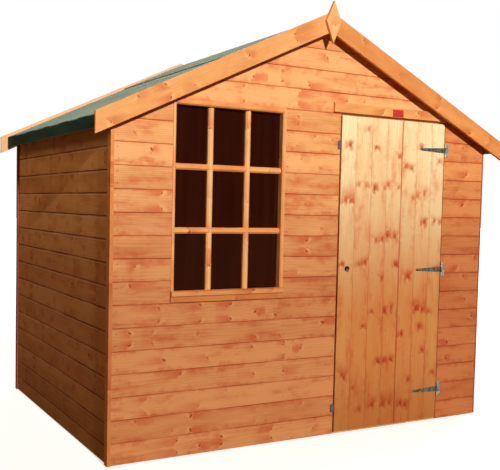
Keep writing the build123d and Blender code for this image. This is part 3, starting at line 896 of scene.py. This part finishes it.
FRONT = Wall(0, front_y, -1, 0.0)
LEFT = Wall(1, left_x, -1, -SIDE_DROP)
RIGHT = Wall(1, right_x, 1, -SIDE_DROP)
BACK = Wall(0, back_y, 1, 0.0)
FRONT_PARTS = ("lower", "left", "middle", "hinge_side", "gable")


def outline(node, across):
    """The node's corners seen square on, as (u, v), with u along the wall."""
    points = {
        (round(v.co[across], 5), round(v.co.z, 5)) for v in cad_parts[node].data.vertices
    }
    return sorted(points)


def span(points, v):
    """The lowest and highest u of a convex outline at height v."""
    hits = []
    for (u0, v0), (u1, v1) in itertools.combinations(points, 2):
        if min(v0, v1) - SAME <= v <= max(v0, v1) + SAME:
            if abs(v1 - v0) < SAME:
                hits += [u0, u1]
            else:
                hits.append(u0 + (u1 - u0) * (v - v0) / (v1 - v0))
    return min(hits), max(hits)


def board_section(low, high, lip, scoop, shift):
    """A wall board's section: a square lip below, a scooped shoulder above."""
    points = [(low, -board_thick)]
    if lip:
        points += [(low, -GROOVE_DEEP), (low + 0.3 * LIP, -0.35 * LIP), (low + LIP, -shift)]
    else:
        points.append((low, -shift))
    points.append(((low + high) / 2, -shift))
    if scoop:
        points += [
            (high - SCOOP, -shift),
            (high - 0.72 * SCOOP, -SCOOP_DEEP[0] - shift),
            (high - 0.35 * SCOOP, -SCOOP_DEEP[1]),
            (high - 0.0004, -GROOVE_DEEP),
        ]
    else:
        points.append((high, -shift))
    points.append((high, -board_thick))
    return points


def wall_boards(name, node, wall, seed, material=board_wood):
    """One wall node as separate lapped boards."""
    timber = Timber(seed)
    points = outline(node, wall.across)
    foot, top = min(v for _, v in points), max(v for _, v in points)
    pointed = span(points, top)[1] - span(points, top)[0] < SLIVER
    for row, low, high in wall.rows(foot, top):
        own = random.Random(f"{wall.across}{wall.offset}{row}")
        edges = wall.offset + row * BOARD_LINE, wall.offset + (row + 1) * BOARD_LINE
        look = timber.new_look(*edges, draw=own)
        shift = own.uniform(0, SET_BACK)
        section = board_section(low, high, wall.is_line(low), wall.is_line(high), shift)
        if high > top - SAME and pointed:
            section = [(v, w) for v, w in section if v < high - SAME]
            section.append((high - SLIVER, -board_thick))
        timber.board(section, lambda v: span(points, v), wall.place, look)
    timber.done(f"boards_{name}", material, replaces=(node,))


def make_walls():
    for i, part in enumerate(FRONT_PARTS):
        # the hinge side takes the deeper copy, painted shade
        material = shaded_board_wood if part == "hinge_side" else board_wood
        wall_boards(f"front_{part}", f"front_cladding_{part}", FRONT, 20 + i, material)
    wall_boards("left", "left_cladding", LEFT, 30, side_board_wood)
    wall_boards("right", "right_cladding", RIGHT, 31, side_board_wood)
    wall_boards("back", "back_cladding", BACK, 32)


# ---------------------------------------------------------------- floor and roof boards
def flat_section(low, high, thick, chamfer):
    """A tongued board with a small V at both edges of its good face."""
    rise = [(0, -thick), (0, -1.5 * chamfer), (0.15 * chamfer, -chamfer), (chamfer, 0)]
    points = [(low + v, w) for v, w in rise] + [((low + high) / 2, 0)]
    return points + [(high - v, w) for v, w in reversed(rise)]


def roof_section(low, high, thick, run):
    """As a floor board's, with the cuts at the ridge and the eaves plumb."""
    middle = (low + high) / 2
    points = []
    for v, w in flat_section(low, high, thick, FLAT_CHAMFER):
        at_ridge = high > run - SAME and v > middle
        at_eaves = low < SAME and v < middle
        points.append((v - slope * w if at_ridge or at_eaves else v, w))
    return points


def board_run(name, node, seed, low, high, step, section, ends, place):
    """Framing boards side by side from low to high, section giving each one's section."""
    timber = Timber(seed)
    v = low
    while v < high - SLIVER:
        edge = min(v + step, high)
        timber.board(section(v, edge), lambda _: ends, place)
        v = edge
    timber.done(name, frame_wood, replaces=(node,))


def make_floor_boards():
    low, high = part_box("floor_boards")

    def section(a, b):
        return flat_section(a, b, high.z - low.z, FLAT_CHAMFER)

    def place(u, v, w):
        return Vector((v, u, high.z + w))

    ends = (low.y, high.y)
    board_run(
        "floor_boarding", "floor_boards", 40, low.x, high.x, FLOOR_LINE, section, ends, place
    )


def make_roof_boards(side, sign):
    """Boards along the ridge direction, with their good face down into the shed."""
    node = f"roof_boards_{side}"
    low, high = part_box(node)
    run = (high.x - low.x) * slope_length
    thick = (high.z - low.z - slope * (high.x - low.x)) / slope_length
    edge_x = low.x if side == "left" else high.x

    def section(a, b):
        return roof_section(a, b, thick, run)

    def place(u, v, w):
        x = edge_x + sign * v / slope_length
        foot = low.z + slope * v / slope_length
        return Vector((x + sign * slope * w / slope_length, u, foot - w / slope_length))

    name, ends = f"roof_boarding_{side}", (low.y, high.y)
    board_run(name, node, 41 + sign, 0.0, run, ROOF_LINE, section, ends, place)


# ---------------------------------------------------------------- door
def make_door_boards():
    """Upright tongued boards with V joints, one of which has opened with drying."""
    low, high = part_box("door_boards")
    timber = Timber(60)
    v, count = low.x, 0
    while v < high.x - SLIVER:
        edge = high.x if v + LAST_BOARD * DOOR_LINE > high.x else v + DOOR_LINE
        opened = {OPEN_JOINT: "low", OPEN_JOINT - 1: "high"}.get(count)
        timber.board(
            door_section(v, edge, high.y - low.y, opened),
            lambda _: (low.z, high.z),
            lambda u, v, w: Vector((v, low.y - w, u)),
            look=timber.new_look(
                v + OPEN_LINE * (opened == "low"), edge - OPEN_LINE * (opened == "high")
            ),
            knots=door_knots(count + 1, (v + edge) / 2),
        )
        v, count = edge, count + 1
    timber.done("door_boarding", door_wood, "door", ("door_boards",))


def door_section(low, high, thick, opened):
    """A door board's section, with a wide worn arris where a joint has opened."""
    section = flat_section(low, high, thick, DOOR_CHAMFER)
    worn = [(v, -thick if w is None else w) for v, w in WORN_ARRIS]
    if opened == "low":
        section[0:4] = [(low + v, w) for v, w in worn]
    elif opened == "high":
        section[5:9] = [(high - v, w) for v, w in reversed(worn)]
    return section


# Whorls of the door boards from the lock side, in centimetres: height, the knots in the
# left and right half of the board as offsets from its middle, and the run of stain above.
DOOR_WHORLS = (
    ((33, -1, 1, 10), (98, -2, None, 2), (134, -1, 2, 11), (166, 1, None, 4)),
    ((13, None, 2, 3), (25, -3, None, 3), (62, None, 2, 3),
     (98, -1, 3, 5), (143, -3, 2, 4), (175, None, 3, 4)),
    ((15, 0, None, 8), (40, None, 4, 5), (70, -2, None, 2), (88, None, 4, 6),
     (112, -1, 4, 5), (142, -3, 4, 5), (164, None, -3, 2)),
    ((14, -3, 2, 11), (40, -4, 2, 5), (70, -4, 0, 5), (96, None, 4, 6),
     (114, -4, 2, 7), (143, -4, 3, 5), (160, None, 3, 4)),
    ((12, -1, 3, 6), (27, None, 4, 5), (55, -2, None, 3),
     (89, 0, 2, 7), (136, None, 3, 4), (154, -3, 2, 5)),
    ((44, None, 4, 5), (58, 0, None, 4), (69, -3, 2, 9),
     (122, None, 2, 5), (138, -4, 1, 7), (168, -2, None, 3)),
    ((30, None, 2, 3), (67, -4, None, 5), (93, None, 2, 4), (122, -1, 3, 5), (158, None, 1, 4)),
)


def door_knots(count, middle):
    draw = random.Random(70 + count)
    found = []
    for z, left, right, run in DOOR_WHORLS[count]:
        pair = [
            None
            if off is None
            else Knot(
                z / 100 + draw.uniform(-0.01, 0.01),
                middle + off / 100,
                draw.uniform(0.010, 0.018),
                draw.choice((-1, 1)) * draw.uniform(0.1, 0.9),
                draw.uniform(0.50, 1.0),
                run / 100,
            )
            for off in (left, right)
        ]
        found.append((pair[0] or pair[1], pair[1] or pair[0]))
    return found


def make_lock_board():
    timber = Timber(61)
    low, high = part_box("door_lock_board")
    timber.copy("door_lock_board", DOOR_CHAMFER, knots=door_knots(0, (low.x + high.x) / 2))
    timber.done("door_lock_boarding", door_wood, "door", ("door_lock_board",))


# ---------------------------------------------------------------- joinery and framing
TRIMS = (
    ("bargeboards_left", trim_wood, 0.002),
    ("bargeboards_right", deep_trim_wood, 0.002),
    ("gable_finial", pale_trim_wood, PLANED),
    ("corner_strips", strip_wood, PLANED),
    ("front_corner_strip", deep_trim_wood, 0.001),
    ("window_jambs", sash_wood, 0.001),
    ("window_rails", rail_wood, 0.001),
    ("window_bars_upright", sash_wood, 0.0012),
    ("window_bars_level", rail_wood, 0.0),
    ("window_sill", trim_wood, 0.0006),
    ("window_apron", deep_trim_wood, 0.0012),
    ("door_head_strip", trim_wood, PLANED),
)
FRAMING = (
    "eaves_fascias floor_bearers front_wall_studs front_wall_rails back_wall_studs "
    "back_wall_rails side_wall_studs side_wall_rails left_rafters right_rafters roof_bearers"
).split()


def planed(node, seed, rounding, material, body="shed"):
    timber = Timber(seed)
    timber.copy(node, rounding)
    timber.done(f"planed_{node}", material, body, (node,))


def make_joinery():
    for i, (node, material, rounding) in enumerate(TRIMS):
        planed(node, 100 + i, rounding, material)
    for i, node in enumerate(FRAMING, len(TRIMS)):
        rounding = 0.002 if node == "floor_bearers" else PLANED
        planed(node, 100 + i, rounding, frame_wood)
    for i, node in enumerate(("door_ledges", "door_braces")):
        planed(node, 130 + i, PLANED, frame_wood, "door")


# ---------------------------------------------------------------- nails and screws
def circle(count, radius):
    """Points round a circle, as (x, y)."""
    turns = [math.tau * i / count for i in range(count)]
    return [(radius * math.cos(turn), radius * math.sin(turn)) for turn in turns]


def dome(bm, centre, out, radius, height, rings=2, segments=10):
    """A low rounded head on a surface, out being the way it faces."""
    turn = Vector(out).to_track_quat("Z", "Y").to_matrix().to_4x4()
    spot = Matrix.Translation(centre) @ turn
    last = None
    for k in range(rings + 1):
        angle = k / (rings + 1) * math.pi / 2
        rise = height * math.sin(angle)
        rim = circle(segments, radius * math.cos(angle))
        ring = [bm.verts.new(spot @ Vector((x, y, rise))) for x, y in rim]
        if last:
            bridge(bm, last, ring)
        else:
            bm.faces.new(list(reversed(ring)))
        last = ring
    bm.faces.new(last)


def heads(name, spots, size, material, body="shed"):
    """Many small heads as one mesh; each spot is a point and the way it faces."""
    bm = bmesh.new()
    for centre, out in spots:
        dome(bm, centre, out, *size)
    finish_mesh(bm, name, material, body)


def stud_lines(node, across):
    """The middle of each upright of a framing node, along the wall."""
    middles = [(low[across] + high[across]) / 2 for low, high in solid_boxes(node)]
    return sorted({round(middle, 4) for middle in middles})


def wall_nails(node, wall, lines, seed):
    """Two nails in each board wherever it crosses a stud."""
    draw = random.Random(seed)
    points = outline(node, wall.across)
    foot, top = min(v for _, v in points), max(v for _, v in points)
    spots = []
    for row, low, high in wall.rows(foot, top):
        whole = wall.offset + row * BOARD_LINE
        for v in (whole + NAIL_IN, whole + BOARD_LINE - NAIL_IN):
            if not low + NAIL_CLEAR[0] < v < high - NAIL_CLEAR[0]:
                continue
            u_low, u_high = span(points, v)
            for line in lines:
                u = min(max(line, u_low + NAIL_CLEAR[1]), u_high - NAIL_CLEAR[1])
                if abs(u - line) < STUD_REACH and u_low < u < u_high:
                    u += draw.uniform(-NAIL_STRAY, NAIL_STRAY)
                    z = v + draw.uniform(-NAIL_STRAY, NAIL_STRAY)
                    spots.append((wall.place(u, z, -NAIL_SUNK), wall.out))
    return spots


def make_nails():
    front_lines = stud_lines("front_wall_studs", 0)
    pale_line = front_lines[1]
    dark = [x for x in front_lines if x != pale_line]
    spots, pale = [], []
    for i, part in enumerate(FRONT_PARTS):
        node = f"front_cladding_{part}"
        spots += wall_nails(node, FRONT, dark, 200 + i)
        pale += wall_nails(node, FRONT, [pale_line], 210 + i)
    side = stud_lines("side_wall_studs", 1) + [front_y + CORNER_NAIL, back_y - CORNER_NAIL]
    spots += wall_nails("left_cladding", LEFT, side, 220)
    spots += wall_nails("right_cladding", RIGHT, side, 220)
    spots += wall_nails("back_cladding", BACK, stud_lines("back_wall_studs", 0), 230)
    heads("wall_nails", spots, NAIL_HEAD, nail_metal)
    heads("window_side_nails", pale, PALE_NAIL_HEAD, zinc)


def make_door_nails():
    """A pair of nails for each board at every ledge, and one where it crosses a brace."""
    low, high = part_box("door_lock_board")[0].x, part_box("door_boards")[1].x
    edges = [low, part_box("door_boards")[0].x]
    while edges[-1] + LAST_BOARD * DOOR_LINE < high:
        edges.append(edges[-1] + DOOR_LINE)
    edges.append(high)
    draw = random.Random(240)
    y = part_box("door_boards")[0].y + DOOR_NAIL_SUNK
    aside, ledge_stray, brace_stray = DOOR_NAIL_STRAY
    spots = []
    for a, b in itertools.pairwise(edges):
        for x in (a + 0.25 * (b - a), a + 0.75 * (b - a)):
            for foot, head in solid_boxes("door_ledges"):
                z = (foot.z + head.z) / 2 + draw.uniform(-ledge_stray, ledge_stray)
                spots.append(Vector((x + draw.uniform(-aside, aside), y, z)))
            for foot, head in solid_boxes("door_braces"):
                share = (head.x - x) / (head.x - foot.x)
                z = foot.z + BRACE_END + share * (head.z - foot.z - 2 * BRACE_END)
                if 0.08 < share < 0.92:
                    spots.append(Vector((x, y, z + draw.uniform(-brace_stray, brace_stray))))
    spots = [(spot, FRONT.out) for spot in spots]
    heads("door_nails", spots, NAIL_HEAD, nail_metal, "door")


def make_screws():
    """Screws through each strap and fixed leaf of the hinges."""
    straps, plates = [], []
    for low, high in solid_boxes("door_hinge_straps"):
        middle = (low.z + high.z) / 2
        for share, lifts in ((0.03, (0,)), (0.28, (0,)), (0.55, (0,)), (0.8, (0.007, -0.007))):
            x = low.x + share * (high.x - low.x)
            y = low.y + SCREW_DEEP[0]
            straps += [(Vector((x, y, middle + lift)), FRONT.out) for lift in lifts]
    for low, high in solid_boxes("door_hinge_plates"):
        for share, inset in ((0.12, 0.013), (0.5, 0.008), (0.88, 0.013)):
            z = low.z + share * (high.z - low.z)
            y = front_y - SCREW_DEEP[1]
            plates.append((Vector((high.x - inset, y, z)), FRONT.out))
    heads("strap_screws", straps, SCREW_HEAD, zinc, "door")
    heads("leaf_screws", plates, SCREW_HEAD, zinc)


# ---------------------------------------------------------------- roof felt
def roof_top(x):
    """Height of the roof boards' top face."""
    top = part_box("roof_felt_left")[1].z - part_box("back_cladding")[1].z
    return apex_z - slope * abs(x) + top - FELT_THICK * slope_length


def felt_sheet(name, path, thick, replaces, seed, side=0, ripple=0.0012):
    """A sheet swept front to back along a path of (x, z) points, its top slightly rippled.

    side is the slope it lies on, so that the face turned down at the eaves looks outwards.
    """
    low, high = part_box("roof_felt_left")
    draw = random.Random(seed)
    waves = [(draw.uniform(1.5, 7), draw.uniform(0, 6), draw.uniform(2, 9)) for _ in range(5)]
    bm = bmesh.new()
    rings = []
    for k in range(FELT_ROWS):
        y = low.y + (high.y - low.y) * k / (FELT_ROWS - 1)
        upper, lower = [], []
        for i, (x, z) in enumerate(path):
            before, after = path[max(i - 1, 0)], path[min(i + 1, len(path) - 1)]
            way = Vector((after[0] - before[0], 0, after[1] - before[1])).normalized()
            out = Vector((-way.z, 0, way.x))
            if out.x * side + out.z < 0:
                out = -out
            along = sum(math.sin(f * y * 3 + p + s * i * 0.35) for f, p, s in waves) / len(waves)
            base = Vector((x, y, z))
            lower.append(bm.verts.new(base))
            upper.append(bm.verts.new(base + out * (thick + ripple * (1 + along))))
        rings.append(lower + upper[::-1])
    for near, far in itertools.pairwise(rings):
        bridge(bm, near, far)
    for ring in (rings[0], rings[-1]):
        for i in range(len(path) - 1):
            bm.faces.new((ring[i], ring[i + 1], ring[-2 - i], ring[-1 - i]))
    bmesh.ops.recalc_face_normals(bm, faces=bm.faces)
    bm.faces.index_update()
    for face in bm.faces:
        face.smooth = True
    # the upright faces of the flap take the dark copy of the felt, painted shade
    upright = [face.index for face in bm.faces if abs(face.normal.z) < UPRIGHT]
    made = finish_mesh(bm, name, felt_green, replaces=replaces)
    made.data.materials.append(shaded_felt)
    for index in upright:
        made.data.polygons[index].material_index = 1
    made.data.set_sharp_from_angle(angle=math.radians(50))


def make_felt():
    """Each slope's sheet, bent down over its eaves, and the strip over the ridge."""
    edge = -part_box("roof_felt_left")[0].x - FELT_THICK
    flap_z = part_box("eaves_felt_flaps")[0].z
    bend = edge - EAVES_TURN
    for side, sign in (("left", -1), ("right", 1)):
        level = [bend * i / SLOPE_STEPS for i in range(SLOPE_STEPS + 1)]
        path = [(sign * x, roof_top(x)) for x in level]
        for turn in map(math.radians, (20, 45, 70, 90)):
            x = bend + EAVES_TURN * math.sin(turn)
            path.append((sign * x, roof_top(bend) - EAVES_FALL * (1 - math.cos(turn))))
        z = path[-1][1]
        path += [(sign * edge, z + drop * (flap_z - z)) for drop in (0.3, 0.6, 1.0)]
        nodes = (f"roof_felt_{side}", "eaves_felt_flaps")
        felt_sheet(f"felt_{side}", path, FELT_THICK, nodes, 300 + sign, sign)
    reach = RIDGE_STRIP / slope_length
    across = [reach * (2 * i / STRIP_STEPS - 1) for i in range(STRIP_STEPS + 1)]
    strip = [(x, roof_top(x) + RIDGE_LIFT - RIDGE_DIP * (abs(x) < 0.01)) for x in across]
    felt_sheet("felt_ridge_strip", strip, RIDGE_THICK, (), 310, ripple=0.0009)


def make_felt_nails():
    """Clout nails along both edges of the ridge strip."""
    low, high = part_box("roof_felt_left")
    reach = RIDGE_STRIP / slope_length - CLOUT_IN
    z = roof_top(reach) + CLOUT_LIFT
    spots = []
    count = int((high.y - low.y) / CLOUT_STEP)
    for k in range(count + 1):
        y = low.y + CLOUT_IN + (high.y - low.y - 2 * CLOUT_IN) * k / count
        for sign in (-1, 1):
            spots.append((Vector((sign * reach, y, z)), Vector((sign * slope, 0, 1)).normalized()))
    heads("felt_clout_nails", spots, CLOUT_HEAD, zinc)


# ---------------------------------------------------------------- carried-over nodes
def finish_nodes():
    """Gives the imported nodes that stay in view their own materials."""
    plans = {
        "window_glass": glass_material(),
        "door_hinge_straps": hinge_metal,
        "door_hinge_plates": leaf_metal,
        "turn_button_lower": zinc,
        "turn_button_upper": zinc,
        "turn_button_screws": zinc,
        "label_plate": label_material(),
    }
    for node, material in plans.items():
        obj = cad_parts[node]
        if obj.material_slots:
            for slot in obj.material_slots:
                slot.link = "OBJECT"
                slot.material = material
        else:
            obj.data.materials.append(material)


def make_stage():
    bm = bmesh.new()
    bm.faces.new([bm.verts.new((x, y, 0)) for x, y in circle(FLOOR_SIDES, FLOOR_REACH)])
    ground = new_object(bm, "pale_floor", stage_material())
    ground.location.z = -FLOOR_DROP


bpy.context.scene.view_settings.view_transform = "Standard"
make_camera()
make_lights()
make_world()
make_stage()
make_walls()
make_floor_boards()
make_roof_boards("left", 1)
make_roof_boards("right", -1)
make_door_boards()
make_lock_board()
make_joinery()
make_felt()
make_felt_nails()
make_nails()
make_door_nails()
make_screws()
finish_nodes()
